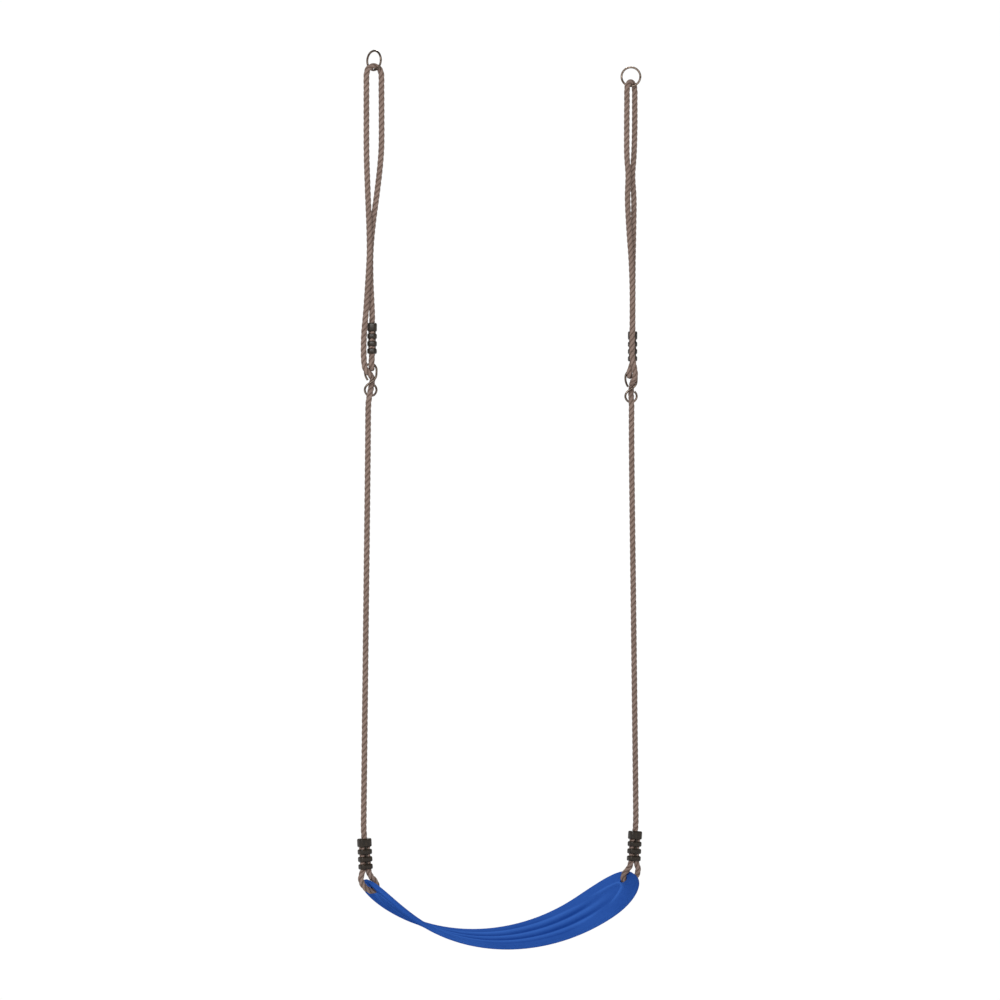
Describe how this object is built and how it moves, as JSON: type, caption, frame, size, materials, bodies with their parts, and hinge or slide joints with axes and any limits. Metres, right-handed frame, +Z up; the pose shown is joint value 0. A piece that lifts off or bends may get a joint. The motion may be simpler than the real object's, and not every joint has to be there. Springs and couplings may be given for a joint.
{
  "type": "belt swing",
  "caption": "Flexible moulded belt seat hung on two adjustable three-strand ropes, with rope clamps, figure-of-eight adjuster hooks and top rings.",
  "frame": {"origin": "midway between the two rings, at the height of the inner top of each ring, where it rests on a swing frame's hook", "axes": "+X from the left rope to the right rope, +Z up the hanging ropes, +Y away from the seat's lower edge"},
  "size_m": [0.6204, 0.149, 1.6765],
  "materials": {
    "steel": "zinc-plated round wire",
    "clamp": "black moulded plastic, satin",
    "rope": "grey-brown three-strand laid synthetic rope",
    "seat": "blue flexible moulded plastic, satin"
  },
  "bodies": {
    "rings": {"ring_left": "steel", "ring_right": "steel"},
    "rope_tops": {"rope_bight_left": "rope", "rope_bight_right": "rope", "rope_standing_left": "rope", "rope_standing_right": "rope", "rope_tail_left": "rope", "rope_tail_right": "rope"},
    "adjuster_left": {"adjuster_hook_left": "steel", "tail_clamp_left": "clamp", "rope_tail_eye_left": "rope", "rope_in_hook_left": "rope", "rope_below_left": "rope"},
    "adjuster_right": {"adjuster_hook_right": "steel", "tail_clamp_right": "clamp", "rope_tail_eye_right": "rope", "rope_in_hook_right": "rope", "rope_below_right": "rope"},
    "lower_left": {"seat_clamp_left": "clamp", "rope_seat_eye_left": "rope"},
    "lower_right": {"seat_clamp_right": "clamp", "rope_seat_eye_right": "rope"},
    "seat": {"seat": "seat"}
  },
  "joints": [
    {"name": "swing", "type": "hinge", "parent": "rings", "child": "rope_tops", "pos_m": [0, 0, -0.028], "axis": [1, 0, 0], "range_deg": [-45, 45], "deforming": ["rope_bight_left", "rope_bight_right"]},
    {"name": "adjust_left", "type": "slide", "parent": "rope_tops", "child": "adjuster_left", "axis": [0, 0, -1], "range_m": [-0.15, 0.2], "deforming": ["rope_standing_left", "rope_tail_left"]},
    {"name": "adjust_right", "type": "slide", "parent": "rope_tops", "child": "adjuster_right", "axis": [0, 0, -1], "range_m": [-0.15, 0.2], "deforming": ["rope_standing_right", "rope_tail_right"]},
    {"name": "take_up_left", "type": "slide", "parent": "adjuster_left", "child": "lower_left", "axis": [0, 0, 1], "range_m": [-0.3, 0.4], "deforming": ["rope_below_left"]},
    {"name": "take_up_right", "type": "slide", "parent": "adjuster_right", "child": "lower_right", "axis": [0, 0, 1], "range_m": [-0.3, 0.4], "deforming": ["rope_below_right"]},
    {"name": "seat_tilt", "type": "hinge", "parent": "lower_left", "child": "seat", "pos_m": [0, 0, -1.554], "axis": [1, 0, 0], "range_deg": [-28, 10]}
  ],
  "couplings": [
    {"joint": "adjust_right", "follows": "adjust_left", "ratio": 1},
    {"joint": "take_up_left", "follows": "adjust_left", "ratio": 2},
    {"joint": "take_up_right", "follows": "adjust_left", "ratio": 2}
  ]
}
